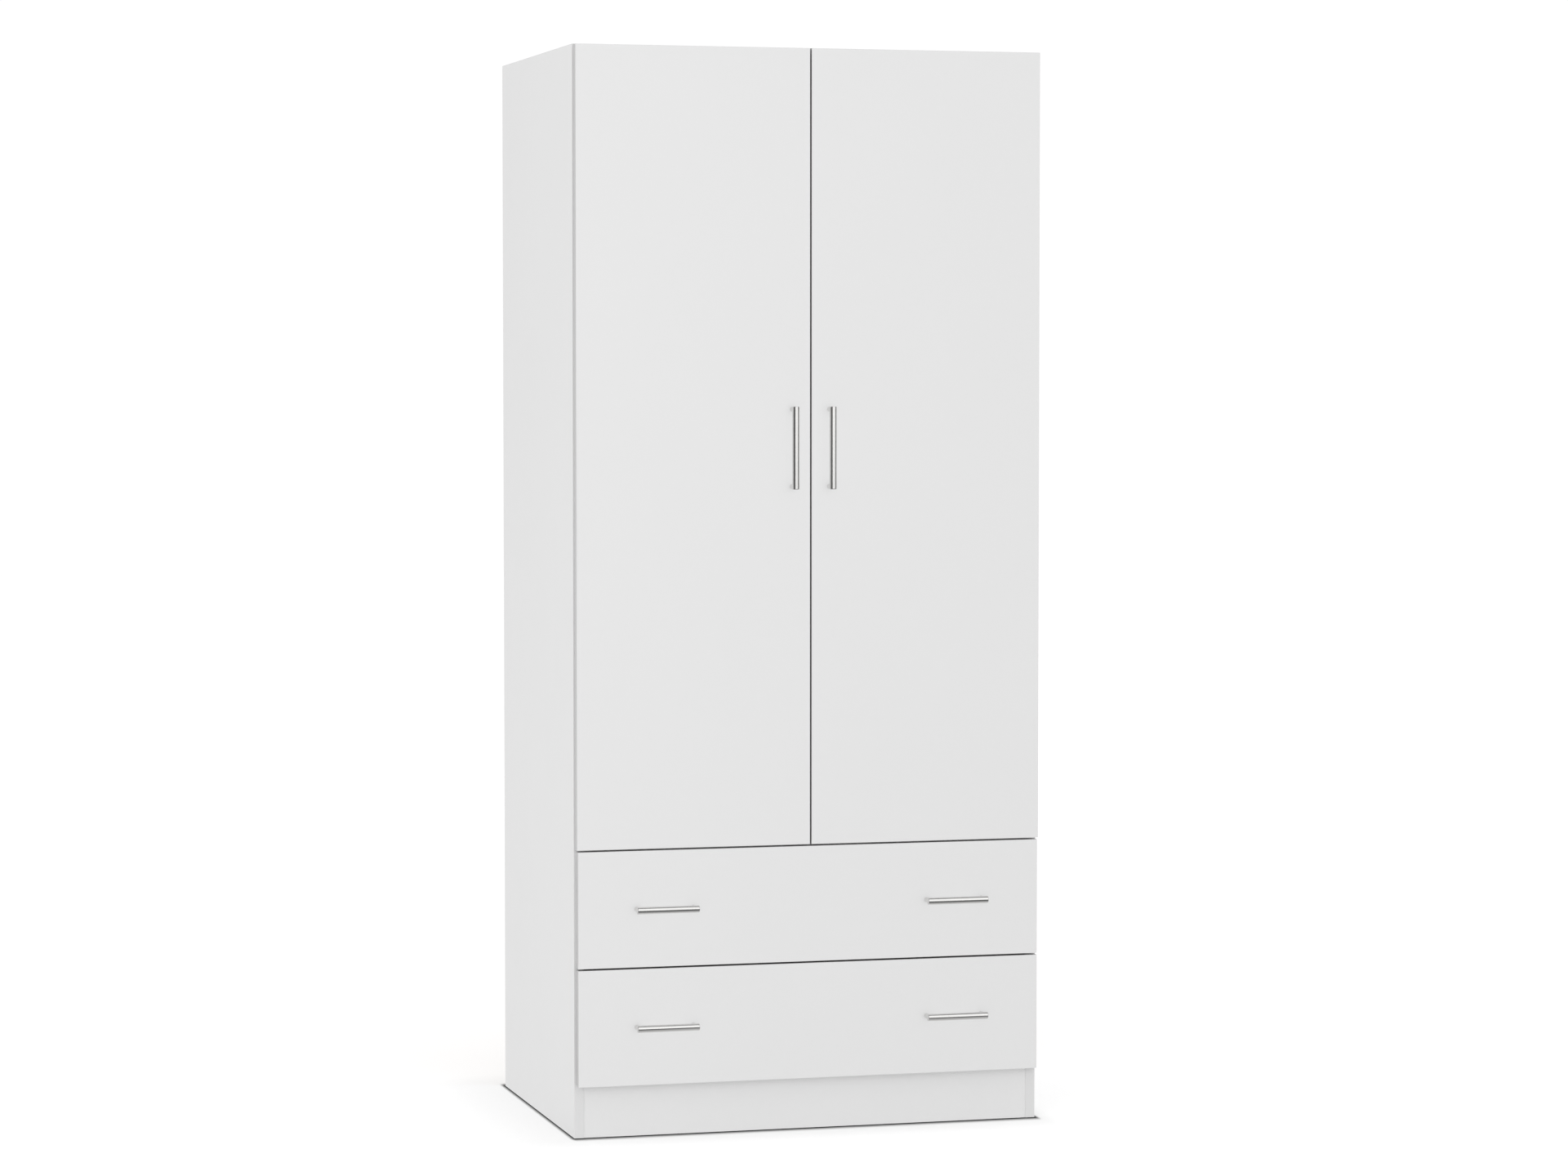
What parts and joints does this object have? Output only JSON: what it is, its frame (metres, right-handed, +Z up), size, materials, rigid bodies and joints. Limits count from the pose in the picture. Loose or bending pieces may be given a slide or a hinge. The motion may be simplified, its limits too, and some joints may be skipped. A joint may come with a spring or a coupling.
{
  "type": "wardrobe",
  "caption": "Free-standing wardrobe with hinged overlay doors over full-width drawers, bar handles, and a hanging rail and hat shelf inside.",
  "frame": {"origin": "on the floor, at the middle of the closed wardrobe's width and depth, handles included", "axes": "+X to the right as seen from the front, +Y towards the back, +Z up; the doors and drawers face -Y"},
  "size_m": [0.8, 0.607, 1.8],
  "materials": {
    "white_board": "white melamine-faced chipboard, fine pearl texture, satin",
    "white_front": "white melamine-faced chipboard with white edge band, smooth satin",
    "drawer_board": "white foil-wrapped chipboard, satin",
    "thin_board": "white-printed hardboard, low sheen",
    "white_plastic": "extruded, low sheen",
    "runner_plastic": "moulded nylon, waxy",
    "chrome_tube": "bright chrome-plated steel tube",
    "satin_nickel": "satin nickel plate",
    "nickel_steel": "nickel-plated pressed steel",
    "zinc_casting": "dull zinc casting",
    "zinc_steel": "bright zinc-plated steel",
    "beech": "fluted beech, raw",
    "clear_buffer": "clear soft polyurethane"
  },
  "bodies": {
    "carcase": {"left_side_panel": "white_board", "right_side_panel": "white_board", "top_panel": "white_board", "base_panel": "white_board", "divider_shelf": "white_board", "hat_shelf": "white_board", "plinth_front": "white_board", "plinth_back": "white_board", "back_board_lower": "thin_board", "back_board_upper": "thin_board", "back_joint_strip": "white_plastic", "hanging_rail": "chrome_tube", "rail_sockets": "zinc_casting", "left_hinge_plates": "nickel_steel", "right_hinge_plates": "nickel_steel", "left_hinge_arms": "nickel_steel", "right_hinge_arms": "nickel_steel", "hinge_arm_screws": "zinc_steel", "cam_bolts": "zinc_steel", "cam_discs": "zinc_casting", "dowels": "beech", "shelf_pins": "zinc_steel", "upper_left_runner": "runner_plastic", "upper_right_runner": "runner_plastic", "lower_left_runner": "runner_plastic", "lower_right_runner": "runner_plastic", "carcase_screws": "zinc_steel", "back_nails": "zinc_steel", "wall_bracket": "zinc_steel", "door_bumpers": "clear_buffer"},
    "left_door": {"left_door": "white_front", "left_door_handle": "satin_nickel", "left_hinge_cups": "nickel_steel", "left_hinge_pins": "nickel_steel", "left_cup_screws": "zinc_steel", "left_handle_screws": "zinc_steel"},
    "right_door": {"right_door": "white_front", "right_door_handle": "satin_nickel", "right_hinge_cups": "nickel_steel", "right_hinge_pins": "nickel_steel", "right_cup_screws": "zinc_steel", "right_handle_screws": "zinc_steel"},
    "upper_drawer": {"upper_drawer_front": "white_front", "upper_drawer_left_side": "drawer_board", "upper_drawer_right_side": "drawer_board", "upper_drawer_back": "drawer_board", "upper_drawer_bottom": "thin_board", "upper_drawer_left_handle": "satin_nickel", "upper_drawer_right_handle": "satin_nickel", "upper_drawer_cams": "zinc_steel", "upper_drawer_screws": "zinc_steel"},
    "lower_drawer": {"lower_drawer_front": "white_front", "lower_drawer_left_side": "drawer_board", "lower_drawer_right_side": "drawer_board", "lower_drawer_back": "drawer_board", "lower_drawer_bottom": "thin_board", "lower_drawer_left_handle": "satin_nickel", "lower_drawer_right_handle": "satin_nickel", "lower_drawer_cams": "zinc_steel", "lower_drawer_screws": "zinc_steel"}
  },
  "joints": [
    {"name": "left_door_hinge", "type": "hinge", "parent": "carcase", "child": "left_door", "pos_m": [-0.3913, -0.2691, 1.139], "axis": [0, 0, -1], "range_deg": [0, 95]},
    {"name": "right_door_hinge", "type": "hinge", "parent": "carcase", "child": "right_door", "pos_m": [0.3913, -0.2691, 1.139], "axis": [0, 0, 1], "range_deg": [0, 95]},
    {"name": "upper_drawer_slide", "type": "slide", "parent": "carcase", "child": "upper_drawer", "axis": [0, -1, 0], "range_m": [0, 0.38]},
    {"name": "lower_drawer_slide", "type": "slide", "parent": "carcase", "child": "lower_drawer", "axis": [0, -1, 0], "range_m": [0, 0.38]}
  ]
}
